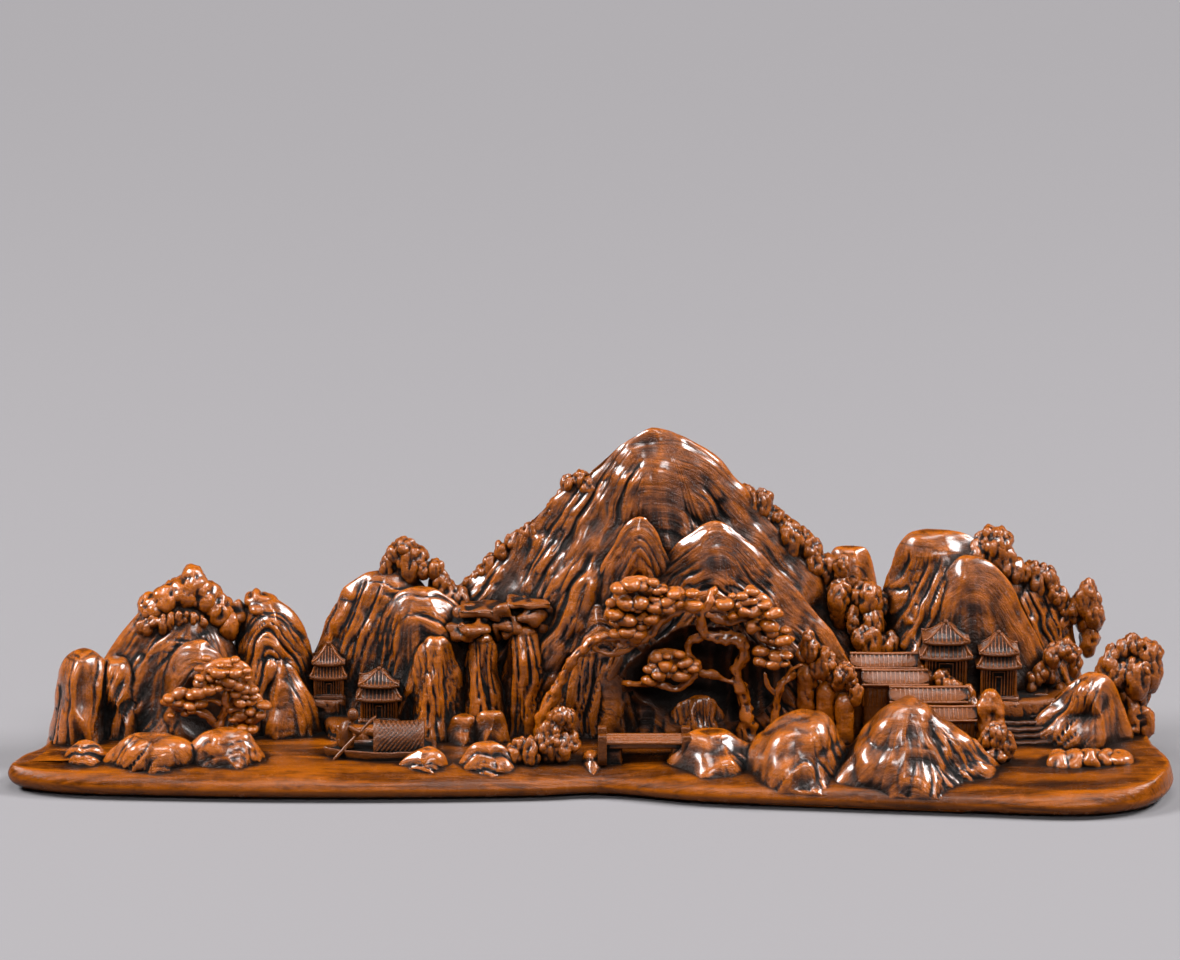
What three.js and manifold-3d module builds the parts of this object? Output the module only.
// A brush rest carved from one block of close-grained wood: a river landscape on a thin slab.
// Brushes lie across the valleys between the peaks.
// Millimetres, Z up. +X is to the right of the carved front, the front looks towards -Y,
// and the flat underside is z = 0 with its bounding box centred on the origin.

import * as THREE from 'three';
import { mergeVertices } from 'three/addons/utils/BufferGeometryUtils.js';
import Module from 'manifold-3d';

const wasm = await Module();
wasm.setup();

// Driving dimensions of the block
const REST_LENGTH = 198;
const REST_DEPTH = 60;
const SLAB_LIP = 3.8;
const SLAB_TOP = 5.4;
const SLAB_END_SWELL = 0.35;
// Height inside the slab where peaks, walls and stems are rooted
const ROOT = 3;

// How finely the carving is cut
const FRONT_BIAS = 0.5;
const BACK_BEGINS = 0.3;
const BACK_CUT = 0.5;
const GROOVE_PLACE = 0.66;
const STROKE_JITTER = 0.4;
const CROWN_CROWDING = 1.7;
const CROWN_BLUNTNESS = 0.012;

const FULL_DROP = Math.hypot(1, CROWN_BLUNTNESS) - CROWN_BLUNTNESS;
const FULL_TURN = 2 * Math.PI;

// The relief planes of the two pines, the middle of the bridge and its floor
const GREAT_PINE_Y = -4;
const LEFT_PINE_Y = -7.5;
const BRIDGE_Y = -13;
const BRIDGE_FLOOR = 8.8;

// An even-looking but fixed variation between 0 and 1 for the n-th stroke of a piece
function vary(n, seed) {
  const wave = Math.sin(n * 12.9898 + seed * 78.233) * 43758.5453;
  return wave - Math.floor(wave);
}

function smoothStep(low, high, value) {
  const s = Math.min(Math.max((value - low) / (high - low), 0), 1);
  return s * s * (3 - 2 * s);
}

// Turns lists of corners and triangles into a solid
function solidFromLists(corners, triangles) {
  return new wasm.Manifold(new wasm.Mesh({
    numProp: 3,
    vertProperties: new Float32Array(corners),
    triVerts: new Uint32Array(triangles)
  }));
}

// Turns a three.js geometry into a solid
function solidFromGeometry(geometry) {
  geometry.deleteAttribute('normal');
  geometry.deleteAttribute('uv');
  const merged = mergeVertices(geometry, 1e-4);
  return solidFromLists(merged.attributes.position.array, merged.index.array);
}

// Joins rings of equal count, listed from the top down, between a pole above and a pole below
function solidFromRings(rings, topPole, bottomPole) {
  const corners = [...topPole];
  for (const ring of rings) {
    for (const point of ring) {
      corners.push(...point);
    }
  }
  corners.push(...bottomPole);
  const count = rings[0].length;
  const last = 1 + rings.length * count;
  const triangles = [];
  for (let i = 0; i < count; i++) {
    const next = (i + 1) % count;
    triangles.push(0, 1 + i, 1 + next);
    for (let r = 0; r < rings.length - 1; r++) {
      const a = 1 + r * count + i;
      const b = 1 + r * count + next;
      triangles.push(a, a + count, b + count);
      triangles.push(a, b + count, b);
    }
    const foot = 1 + (rings.length - 1) * count;
    triangles.push(foot + i, last, foot + next);
  }
  return solidFromLists(corners, triangles);
}

function box(x, y, z, width, depth, height, turn = 0) {
  const geometry = new THREE.BoxGeometry(width, depth, height);
  geometry.rotateZ(turn);
  geometry.translate(x, y, z + height / 2);
  return solidFromGeometry(geometry);
}

// A small rounded lump, such as a pad of pine needles or a pebble
function lump(x, y, z, halfWidth, halfDepth, halfHeight, detail = 0) {
  const geometry = new THREE.IcosahedronGeometry(1, detail);
  geometry.scale(halfWidth, halfDepth, halfHeight);
  geometry.translate(x, y, z);
  return solidFromGeometry(geometry);
}

// A limb that tapers along a curve through [x, y, z] points. knob makes every other ring stand out,
// for a row of bushes.
function limb(points, thick, thin, sides = 5, steps = 8, knob = 0) {
  const curve = new THREE.CatmullRomCurve3(points.map(([x, y, z]) => new THREE.Vector3(x, y, z)));
  const depthAxis = new THREE.Vector3(0, 1, 0);
  const rings = [];
  for (let s = 0; s <= steps; s++) {
    const centre = curve.getPoint(s / steps);
    const tangent = curve.getTangent(s / steps);
    const across = new THREE.Vector3().crossVectors(depthAxis, tangent).normalize();
    const through = new THREE.Vector3().crossVectors(tangent, across);
    const radius = THREE.MathUtils.lerp(thick, thin, s / steps) * (1 + (s % 2 ? knob : -knob));
    const ring = [];
    for (let i = 0; i < sides; i++) {
      const angle = -i / sides * FULL_TURN;
      const point = centre.clone();
      point.addScaledVector(across, radius * Math.cos(angle));
      point.addScaledVector(through, radius * Math.sin(angle));
      ring.push(point.toArray());
    }
    rings.push(ring);
  }
  return solidFromRings(rings, curve.getPoint(0).toArray(), curve.getPoint(1).toArray());
}

// A peak, cliff or rock. reach is [left, right, front, back] at the foot. bend is the power that
// shapes each of those sides: 1 is a straight cone, less is a fuller dome.
// Strokes run from the crown down the fall line. Each is a ridge and a groove, with a broad
// sloping side between them and a steep side after the groove.
function hill({ at, top, foot = ROOT, reach, bend, strokes, cut = 1, sway = 0.1, rings = 4 }, seed) {
  const [left, right, front, back] = reach;
  const [bendLeft, bendRight, bendFront, bendBack] = bend;
  const loops = [];
  for (let r = 1; r <= rings; r++) {
    const fall = Math.pow(r / rings, CROWN_CROWDING);
    const drift = sway * Math.sin(fall * 4.5 + seed);
    const fade = smoothStep(0, 0.25, fall);
    const drop = (Math.hypot(fall, CROWN_BLUNTNESS) - CROWN_BLUNTNESS) / FULL_DROP;
    const loop = [];
    for (let i = 0; i < strokes * 2; i++) {
      const stroke = Math.floor(i / 2);
      const isGroove = i % 2 === 1;
      const start = stroke + STROKE_JITTER * (vary(stroke, seed) - 0.5);
      const even = (start + (isGroove ? GROOVE_PLACE : 0)) / strokes * FULL_TURN + drift;
      const angle = even - FRONT_BIAS * Math.cos(even);
      const c = Math.cos(angle);
      const s = Math.sin(angle);
      const depth = cut * (0.5 + vary(stroke, seed + 1)) * (s > BACK_BEGINS ? BACK_CUT : 1);
      const relief = depth * (isGroove ? -0.5 : 0.5) * fade;
      const alongX = c > 0 ? right * Math.pow(fall, bendRight) : left * Math.pow(fall, bendLeft);
      const alongY = s > 0 ? back * Math.pow(fall, bendBack) : front * Math.pow(fall, bendFront);
      loop.push([at[0] + c * (alongX + relief), at[1] + s * (alongY + relief), top - (top - foot) * drop]);
    }
    loops.push(loop);
  }
  return solidFromRings(loops, [at[0], at[1], top], [at[0], at[1], foot]);
}

// A low flat-topped terrace with rounded shoulders
function terrace(x, y, top, halfWidth, halfDepth, sides = 10) {
  const shoulders = [[0.9, top], [1, top - 0.8], [1.04, ROOT]];
  const rings = shoulders.map(([share, z]) => {
    const ring = [];
    for (let i = 0; i < sides; i++) {
      const angle = i / sides * FULL_TURN;
      const swell = share * (1 + 0.05 * Math.sin(3 * angle + x));
      ring.push([
        x + swell * halfWidth * Math.sign(Math.cos(angle)) * Math.pow(Math.abs(Math.cos(angle)), 0.7),
        y + swell * halfDepth * Math.sign(Math.sin(angle)) * Math.pow(Math.abs(Math.sin(angle)), 0.7),
        z
      ]);
    }
    return ring;
  });
  return solidFromRings(rings, [x, y, top], [x, y, ROOT]);
}

// A knobbly tuft of foliage or crag: a lump of three rings whose corners stand out unevenly
function tuft(x, y, z, halfWidth, halfDepth, halfHeight, seed = 0, sides = 5) {
  const levels = [[0.62, 0.72], [0, 1], [-0.62, 0.8]];
  const rings = levels.map(([level, share], n) => {
    const ring = [];
    for (let i = 0; i < sides; i++) {
      const angle = (i + n / 2) / sides * FULL_TURN + seed;
      const swell = share * (0.84 + 0.32 * vary(i + n * sides, seed));
      ring.push([
        x + swell * halfWidth * Math.cos(angle),
        y + swell * halfDepth * Math.sin(angle),
        z + halfHeight * (level + 0.24 * (vary(i, seed + n) - 0.5))
      ]);
    }
    return ring;
  });
  return solidFromRings(rings, [x, y, z + halfHeight], [x, y, z - halfHeight]);
}

// The slab: an irregular oval, drawn by hand, fitted to the length and depth of the block
function slab() {
  const outline = [
    [-98.4, -15], [-92, -18.5], [-66, -21], [-32, -21.5], [-8.4, -20.5], [1.7, -19.4],
    [18.5, -23.5], [40, -26], [62, -28.4], [84, -30], [94, -26], [98.4, -17],
    [96.6, -5], [95.5, 3], [90, 12], [72, 22], [40, 28], [0, 30],
    [-40, 26.5], [-66, 19.5], [-82, 14.5], [-90.5, 8.5], [-93, 1], [-94.6, -5], [-97.6, -9.5]
  ];
  const curve = new THREE.CatmullRomCurve3(
    outline.map(([x, y]) => new THREE.Vector3(x, y, 0)), true, 'centripetal');
  const edge = curve.getPoints(36).slice(0, -1);
  const bounds = new THREE.Box3().setFromPoints(edge);
  const size = bounds.getSize(new THREE.Vector3());
  const middle = bounds.getCenter(new THREE.Vector3());
  for (const point of edge) {
    point.sub(middle);
    point.x *= REST_LENGTH / size.x;
    point.y *= REST_DEPTH / size.y;
  }
  const section = [[SLAB_TOP, 6], [SLAB_LIP, 0.9], [SLAB_LIP / 2, 0], [0, 1.1]];
  const rings = section.map(([z, inset]) => edge.map((point, i) => {
    const before = edge[(i + edge.length - 1) % edge.length];
    const after = edge[(i + 1) % edge.length];
    const along = after.clone().sub(before).normalize();
    const swell = 1 + SLAB_END_SWELL * Math.pow(Math.abs(point.x) * 2 / REST_LENGTH, 6);
    return [point.x - along.y * inset, point.y + along.x * inset, z * (z < SLAB_TOP ? swell : 1)];
  }));
  return solidFromRings(rings, [0, 0, SLAB_TOP], [0, 0, 0]);
}

// A four-posted pavilion with two flared roofs. y is its middle, foot the floor it stands on.
function pavilion(x, y, foot, width, height) {
  const half = width / 2;
  const depth = half * 0.8;
  const eaveCorners = [[1, 1], [0, 1.08], [-1, 1], [-1.08, 0], [-1, -1], [0, -1.08], [1, -1], [1.08, 0]];
  const flare = (z, share) => eaveCorners.map(([cx, cy]) => [
    x + cx * half * share,
    y + cy * depth * share,
    z + 0.25 * Math.abs(cx * cy) * share
  ]);
  const apex = foot + height;
  const upperEave = foot + height * 0.78;
  const lowerEave = foot + height * 0.56;
  const parts = [
    solidFromRings([flare(apex - height * 0.05, 0.22), flare(upperEave, 0.95), flare(upperEave - 0.5, 0.9)],
      [x, y, apex], [x, y, upperEave - 0.5]),
    solidFromRings([flare(upperEave - 0.6, 0.62), flare(lowerEave, 1.08), flare(lowerEave - 0.6, 1.02)],
      [x, y, upperEave], [x, y, lowerEave - 0.6]),
    box(x, y, foot - 2, width * 0.6, depth * 1.2, height * 0.55 + 2)
  ];
  for (const side of [-1, 1]) {
    parts.push(box(x + side * half * 0.72, y - depth * 0.72, foot - 1.5, 0.7, 0.7, height * 0.55 + 1.5));
  }
  parts.push(box(x, y, foot - 2.5, width * 0.86, depth * 1.75, 3.1));
  return parts;
}

// A long low house with a pitched roof and turned-up eave, its ridge along X
function house(x, y, foot, width, depth, wall, rise) {
  const eave = foot + wall;
  const profile = new THREE.Shape([
    new THREE.Vector2(-depth / 2, eave),
    new THREE.Vector2(-depth * 0.2, eave + rise * 0.55),
    new THREE.Vector2(0, eave + rise),
    new THREE.Vector2(depth / 2, eave + rise * 0.4),
    new THREE.Vector2(depth / 2, eave - 0.8),
    new THREE.Vector2(-depth / 2, eave - 0.8)
  ]);
  const roof = new THREE.ExtrudeGeometry(profile, { depth: width, bevelEnabled: false, steps: 1 });
  roof.rotateX(Math.PI / 2);
  roof.rotateZ(Math.PI / 2);
  roof.translate(x - width / 2, y, 0);
  return [solidFromGeometry(roof), box(x, y + 0.3, ROOT, width * 0.94, depth * 0.8, eave - ROOT - 0.2)];
}

// Peaks, cliffs and rocks, from left to right
const hills = [
  // Left peaks
  { at: [-87, 1], top: 20, reach: [6.6, 5.2, 8, 8], bend: [.25, .25, .3, .4], strokes: 5, rings: 3 },
  { at: [-69.5, 5], top: 27.3, reach: [19.5, 14, 11, 10], bend: [.36, .52, .5, .5], strokes: 9, cut: 1.5 },
  { at: [-67, 0], top: 22.1, reach: [9.7, 11, 7, 8], bend: [.5, .5, .45, .5],
    strokes: 5, cut: .9, rings: 3 },
  { at: [-55.6, 7], top: 27.4, reach: [7.2, 12.6, 10, 10], bend: [.4, .44, .45, .5], strokes: 6, cut: 1.1 },
  { at: [-53.6, 2], top: 18.5, reach: [3.6, 8.3, 6, 6], bend: [.3, .43, .45, .5],
    strokes: 4, cut: .9, rings: 3 },
  { at: [-74.5, -13.5], top: 10, foot: 2, reach: [9, 7.4, 7, 9], bend: [.7, .5, .5, .5],
    strokes: 5, rings: 3 },
  { at: [-61, -12.5], top: 10.2, foot: 2, reach: [9, 7.5, 7, 8], bend: [.45, .3, .45, .5],
    strokes: 5, rings: 3 },
  { at: [-85.2, -12], top: 8, foot: 2, reach: [4.5, 4.3, 4, 6], bend: [.6, .6, .5, .5],
    strokes: 3, cut: .6, rings: 2 },
  // Second hill with its cliffs
  { at: [-33, 9], top: 31.8, reach: [20, 13, 11, 13], bend: [.33, .45, .5, .5], strokes: 6, cut: 1.3 },
  { at: [-28.9, 5], top: 30, reach: [13.7, 16, 9, 10], bend: [.35, .43, .5, .5], strokes: 7, cut: 1.4 },
  { at: [-26.6, 0], top: 22.8, reach: [5.6, 6.4, 6, 8], bend: [.3, .3, .34, .5], strokes: 4, cut: .7 },
  { at: [-17.5, 3], top: 21.1, reach: [3.9, 3.4, 5, 9], bend: [.4, .4, .35, .5],
    strokes: 3, cut: .9, rings: 2 },
  { at: [-11.4, 4], top: 21, reach: [4.4, 4.1, 5, 10], bend: [.3, .3, .35, .5],
    strokes: 3, cut: .9, rings: 2 },
  { at: [-27.9, -15.5], top: 7.6, foot: 2, reach: [5.3, 4, 4, 6], bend: [.5, .5, .5, .5],
    strokes: 3, cut: .6, rings: 2 },
  { at: [-16.9, -15], top: 8.8, foot: 2, reach: [6.9, 5.3, 5, 7], bend: [.45, .45, .45, .5],
    strokes: 4, cut: .9, rings: 2 },
  { at: [-20.6, -2], top: 9.6, reach: [3.1, 2.4, 4, 5], bend: [.5, .5, .5, .5],
    strokes: 3, cut: .6, rings: 2 },
  { at: [-16.8, -2], top: 10.5, reach: [3.1, 2.4, 4, 5], bend: [.5, .5, .5, .5],
    strokes: 3, cut: .6, rings: 2 },
  // Great mountain, with the smooth lobe under its crown, the fore peak and its left shoulder
  { at: [10.8, 10], top: 57, reach: [57, 47, 14, 18], bend: [.84, .72, .66, .62],
    strokes: 18, cut: 2, sway: .06, rings: 6 },
  { at: [9.6, 3], top: 44.6, foot: 20, reach: [8.4, 8.4, 3.6, 7], bend: [.5, .5, .5, .5],
    strokes: 5, cut: .7, rings: 3 },
  { at: [21.4, 3], top: 42.5, reach: [32, 33, 7, 11], bend: [.74, .74, .5, .6],
    strokes: 12, cut: 1.6, sway: .06, rings: 5 },
  { at: [1.5, 2], top: 28.5, reach: [9.4, 14, 6, 9], bend: [.42, .45, .5, .5], strokes: 5, rings: 3 },
  { at: [0, -1], top: 20.9, reach: [7.4, 6.5, 3, 9], bend: [.45, .4, .4, .5],
    strokes: 5, cut: .9, rings: 3 },
  // Right mountain
  { at: [44.9, 18], top: 33.3, reach: [5.4, 6.9, 8, 6], bend: [.2, .2, .4, .4],
    strokes: 3, cut: .6, rings: 3 },
  { at: [59.2, 12], top: 38.1, reach: [12.2, 29, 12, 12], bend: [.3, .5, .48, .5],
    strokes: 8, cut: 1.5, rings: 5 },
  { at: [63.6, 7], top: 36, reach: [13.7, 19, 8, 11], bend: [.55, .55, .5, .5], strokes: 7 },
  { at: [85.6, -2], top: 16.9, reach: [13.5, 8.6, 6, 8], bend: [.8, .33, .45, .5], strokes: 5 },
  // Rocks along the front of the slab
  { at: [.2, -14], top: 7, foot: 2, reach: [3, 3.7, 5, 4], bend: [.5, .5, .5, .5],
    strokes: 3, cut: .6, rings: 2 },
  { at: [22.4, -14], top: 10.3, foot: 2, reach: [10.5, 9, 8, 9], bend: [.31, .5, .45, .5],
    strokes: 5, cut: 1.1, rings: 3 },
  { at: [35.7, -15.5], top: 14.6, foot: .6, reach: [12.3, 8.9, 11, 12], bend: [.42, .46, .5, .5],
    strokes: 5, cut: 1.3 },
  { at: [53.8, -16.5], top: 17.4, foot: .6, reach: [15, 18, 12, 13], bend: [.8, .8, .5, .5],
    strokes: 6, cut: 1.5 },
  { at: [85.5, -15], top: 8, foot: 2, reach: [6.6, 6, 4, 4], bend: [.5, .5, .5, .5],
    strokes: 5, cut: 1.2, rings: 2 }
];

// Hollows cut back into the mountains behind the two relief pines
const niches = [
  lump(19.8, -5.5, 16.8, 17, 8.5, 10, 1),
  lump(-64.5, -7.5, 13, 9.5, 5.5, 8, 1)
];

// Terraces that carry the buildings
const terraces = [
  terrace(-37, 2, 8.0, 9, 7),
  terrace(-46, 6, 10.8, 5, 5),
  terrace(65, 4, 12, 17, 8, 14),
  terrace(58, -3, 8.5, 12, 7)
];

// The old pine in its hollow in front of the great mountain, all in a relief about 4 mm deep
function greatPine() {
  const route = (points) => points.map(([x, z, y = GREAT_PINE_Y]) => [x, y, z]);
  const trunk = [
    [27.6, 3.5], [26.4, 13.8], [25, 18], [26.2, 22], [22.9, 23.6], [19.4, 25], [19, 28], [21.4, 32.3, -2]
  ];
  const lowLimb = [
    [19.6, 24.4], [17, 23], [16.8, 20.8], [18.3, 19], [18.4, 16.8], [16.4, 15.4], [11.6, 15.4], [5, 15, -1.5]
  ];
  const leftLimb = [
    [19.3, 28.6], [14, 28.4], [11.3, 25.9], [8, 23.2], [1.7, 24], [-2, 21], [-6.5, 13], [-9, 5, -2]
  ];
  const parts = [
    limb(route(trunk), 1.3, 0.8, 4, 10),
    limb(route(lowLimb), 0.9, 0.7, 4, 8),
    limb(route(leftLimb), 0.9, 1.1, 4, 9),
    limb(route([[19.4, 28.4], [23.9, 26.8], [28.1, 26.3], [29.4, 23.2], [35, 23.2, -2.5]]), 0.8, 0.7, 4, 5),
    limb(route([[18.4, 17.6], [24.1, 16], [26.2, 15]]), 0.7, 0.6, 4, 3),
    limb(route([[31.6, 3.5], [31.9, 12], [33, 16], [36, 17, -2.5]]), 0.8, 0.7, 4, 4)
  ];
  const clumps = [
    [8.5, 31.6, 5.6, 4.2], [6.8, 27.6, 4.6, 3], [14.6, 32, 2.8, 1.8], [26.4, 31, 3.2, 2.8],
    [30.4, 26.8, 3, 3], [13.6, 19.4, 4.8, 3.4], [32.2, 20.7, 2.6, 1.8]
  ];
  clumps.forEach(([x, z, halfWidth, halfHeight], n) => {
    parts.push(tuft(x, GREAT_PINE_Y + 0.6, z, halfWidth, 3.4, halfHeight, n, 6));
  });
  return parts;
}

// The small pine cut in relief on the left peak
function leftPine() {
  const route = (points) => points.map(([x, z, y = LEFT_PINE_Y]) => [x, y, z]);
  const parts = [
    limb(route([[-62.5, 3.5], [-63.5, 8], [-61.8, 13], [-61.5, 19, -5.5]]), 0.9, 0.7, 4, 4),
    limb(route([[-63, 9], [-67, 11], [-70.5, 12, -5.5]]), 0.7, 0.6, 4, 3),
    limb(route([[-62.2, 12], [-58, 11], [-55.5, 12, -5.5]]), 0.7, 0.6, 4, 3)
  ];
  const clumps = [
    [-62.5, 17.6, 4.8, 3.4], [-69.2, 13.2, 4, 3.2], [-58.6, 14, 3.6, 3.4], [-59.8, 9.8, 3.8, 2]
  ];
  clumps.forEach(([x, z, halfWidth, halfHeight], n) => {
    parts.push(tuft(x, LEFT_PINE_Y + 1.4, z, halfWidth, 3, halfHeight, n + 7, 5));
  });
  return parts;
}

// Foliage, crags and stumps on the skyline and at the feet of the peaks
function tufts() {
  return [
    // Crag with a ledge over the left peak
    limb([[-77, 7, 24.5], [-74, 7, 27.6], [-69, 7, 28.6], [-65, 7, 25.4], [-62.6, 7, 20.6]],
      2.4, 1.8, 4, 6, 0.2),
    tuft(-68.6, 7, 29, 3, 3.6, 4.6, 2),
    tuft(-61.2, 9, 22.6, 1.9, 2.4, 4.2, 4),
    lump(-57.6, 8.5, 26.6, 2.4, 2.6, 2.2),
    // Trees on top of the second hill
    tuft(-32.2, 9.5, 33.6, 3, 3.2, 3.6, 5, 6),
    tuft(-26.8, 9, 30.6, 2.6, 3, 3.2, 6),
    tuft(-23.2, 8, 26.4, 1.9, 2.4, 3.6, 8),
    // Bushes down the left ridge of the great mountain
    limb([[-21, 11, 27.6], [-15.6, 11, 34.8], [-9.4, 11, 39.6], [-4, 11, 44.4], [-0.6, 11, 46.6]],
      1.8, 2.6, 4, 7, 0.16),
    // Bushes down the right ridge
    limb([[26.8, 12, 44], [31.6, 12, 41], [36.8, 12, 36.8], [40.6, 12, 31.6]], 2, 3, 4, 6, 0.2),
    // Trees in the fold before the flat table
    limb([[43.6, 10, 29.6], [49.8, 10, 26], [46.8, 8, 21.8], [52, 6, 18]], 2.8, 2.4, 4, 6, 0.16),
    // Trees down the right shoulder
    limb([[67.6, 12, 33], [70.2, 12, 33.4], [74, 12, 29], [78.2, 12, 27], [82.4, 12, 22.6], [85, 12, 20]],
      2.6, 2.4, 4, 8, 0.2),
    tuft(86, 12, 22.6, 2.5, 3, 4.6, 24),
    // Small tree behind the right rock
    tuft(80.8, 4, 12, 2.6, 2.6, 7.4, 25),
    tuft(77.2, 2, 13.2, 2.6, 2.6, 2.2, 26),
    // Far right tree, leaning out
    limb([[93, 0, 4], [93.6, 0, 9], [92.4, 1, 15]], 2.4, 1.8, 5, 4),
    tuft(91.8, 1, 15.4, 3.6, 3.4, 3.6, 27),
    tuft(95.6, 1, 15.8, 2.7, 3, 3.2, 28),
    // Bush at the near end of the bridge
    tuft(-5.8, -13, 8.8, 3.4, 3, 4, 29),
    tuft(-10, -14, 6.4, 2.8, 2.4, 2.4, 30),
    // Foliage columns between the pine and the houses
    tuft(37.4, -2.6, 18.4, 2, 2.4, 3.8, 31),
    tuft(40.4, -3.6, 12, 2, 2.4, 8.6, 32),
    tuft(43.4, -4.6, 10.6, 1.9, 2.2, 7.6, 33),
    // Standing stone and tuft before the stairs
    limb([[68.3, -8, 3.5], [68.3, -8, 9], [68.2, -8, 14.6]], 1.9, 1.7, 5, 2),
    lump(68.2, -8, 14.4, 2, 1.9, 2.2),
    tuft(69, -14, 7, 3, 2.8, 4.2, 34)
  ];
}

// The ledge path that leads from the second hill on to the great mountain
function ledgePath() {
  return [
    box(-18.4, 8, 22.6, 8.6, 7, 1.5, 0.06),
    box(-11, 8, 24.4, 7.6, 6, 1.4, 0.05),
    box(-14.4, 8, 23.4, 3.4, 6.4, 2, -0.2),
    lump(-15.8, 6, 20.4, 4.4, 3.4, 2.4),
    lump(-10.8, 6.5, 21.4, 3.4, 3.4, 2.2)
  ];
}

// Three stepped houses under their roofs, with the wall below
function houses() {
  return [
    ...house(50.4, 0.6, 13.4, 11.6, 4.2, 4.3, 1.7),
    ...house(52.2, -2.2, 11.4, 11.4, 4.2, 4.2, 1.7),
    ...house(57.8, -5, 9.6, 13.4, 4.6, 3.9, 1.7),
    ...house(61.4, -8, 6.6, 9, 4.4, 4.6, 1.5),
    box(62.6, -7.6, ROOT, 5, 3.6, 6.6),
    lump(62.8, -4, 13.8, 3.4, 2, 1.8)
  ];
}

// Stairs between the stone and the right rock
function stairs() {
  const steps = 6;
  const treads = [];
  for (let i = 0; i < steps; i++) {
    const z = THREE.MathUtils.lerp(SLAB_TOP, 12, (i + 1) / steps);
    const y = THREE.MathUtils.lerp(-6.5, 0.4, i / (steps - 1));
    treads.push(box(74.4, y + 2.2, ROOT, 8.6 - 0.2 * i, 4.4, z - ROOT));
  }
  return treads;
}

// The plank bridge over the stream, with its end posts
function bridge() {
  const thickness = 1.1;
  const postHeight = 5.3;
  const deckFoot = BRIDGE_FLOOR - thickness;
  const parts = [
    box(9, BRIDGE_Y, deckFoot, 14.2, 4.4, thickness),
    box(3.4, BRIDGE_Y, ROOT, 4, 4, deckFoot + 0.3 - ROOT),
    box(15.6, BRIDGE_Y, ROOT, 3.4, 4, deckFoot + 0.3 - ROOT)
  ];
  for (const x of [2.1, 16.3]) {
    for (const side of [-1, 1]) {
      parts.push(box(x, BRIDGE_Y + side * 2.2, BRIDGE_FLOOR + 1.5 - postHeight, 1.5, 1.5, postHeight));
    }
  }
  return parts;
}

// The boat with its mat roof, and its boatman at the pole
function boat() {
  const hull = new THREE.Shape();
  hull.moveTo(-45.4, -11);
  hull.quadraticCurveTo(-40, -14.4, -34, -14.2);
  hull.lineTo(-26.6, -13.4);
  hull.lineTo(-26.2, -7.4);
  hull.lineTo(-38, -7.6);
  hull.closePath();
  const hullGeometry = new THREE.ExtrudeGeometry(hull, { depth: 3.4, bevelEnabled: false, curveSegments: 5 });
  hullGeometry.translate(0, 0, 3.4);
  const arch = new THREE.Shape();
  arch.absarc(0, 0, 2.9, 0, Math.PI, false);
  arch.closePath();
  const roofGeometry = new THREE.ExtrudeGeometry(arch, { depth: 8, bevelEnabled: false, curveSegments: 5 });
  roofGeometry.rotateX(Math.PI / 2);
  roofGeometry.rotateZ(Math.PI / 2);
  roofGeometry.scale(1, 1, 1.7);
  roofGeometry.translate(-36.4, -10.4, 6);
  return [
    solidFromGeometry(hullGeometry),
    solidFromGeometry(roofGeometry),
    limb([[-41, -10.4, 5], [-41.4, -10.4, 8.5], [-40.6, -10.4, 11.6]], 1.7, 1.1, 5, 3),
    lump(-40.4, -10.4, 12.2, 1.1, 1.1, 1.3),
    limb([[-43.8, -13.6, 4.6], [-40, -12, 8.6], [-36.4, -10.6, 11.6]], 0.6, 0.5, 4, 2)
  ];
}

// The whole carving as one solid: the ground is joined, the hollows are cut, and what stands in
// front of them is joined last.
function carving() {
  let ground = slab();
  for (const shape of [...hills.map((row, n) => hill(row, n)), ...terraces]) {
    ground = ground.add(shape);
  }
  for (const hollow of niches) {
    ground = ground.subtract(hollow);
  }
  const nicheRock = hill({
    at: [18.9, -2], top: 14, reach: [8.6, 6.9, 4, 6], bend: [0.8, 0.8, 0.6, 0.6],
    strokes: 5, cut: 0.6, rings: 4
  }, hills.length);
  const figures = [
    nicheRock, ...greatPine(), ...leftPine(), ...tufts(), ...ledgePath(), ...houses(), ...stairs(),
    ...bridge(), ...boat(),
    ...pavilion(-36.2, 2, 8, 9.2, 8.8),
    ...pavilion(-45, 6, 10.8, 7, 9.2),
    ...pavilion(61, 6, 12.5, 10, 12.4),
    ...pavilion(70, 1, 12, 8.2, 11.4)
  ];
  let whole = ground;
  for (const shape of figures) {
    whole = whole.add(shape);
  }
  return whole;
}

// Hands the solid back as a mesh geometry
function geometryFromSolid(solid) {
  const mesh = solid.getMesh();
  const geometry = new THREE.BufferGeometry();
  geometry.setAttribute('position', new THREE.BufferAttribute(mesh.vertProperties, mesh.numProp));
  geometry.setIndex(new THREE.BufferAttribute(mesh.triVerts, 1));
  geometry.computeVertexNormals();
  return geometry;
}

const carvedWood = new THREE.MeshStandardMaterial({ color: 0x8a4518, roughness: 0.38, metalness: 0 });

const rest = new THREE.Group();
const landscape = new THREE.Mesh(geometryFromSolid(carving()), carvedWood);
landscape.name = 'landscape_brush_rest';
rest.add(landscape);

export default rest;
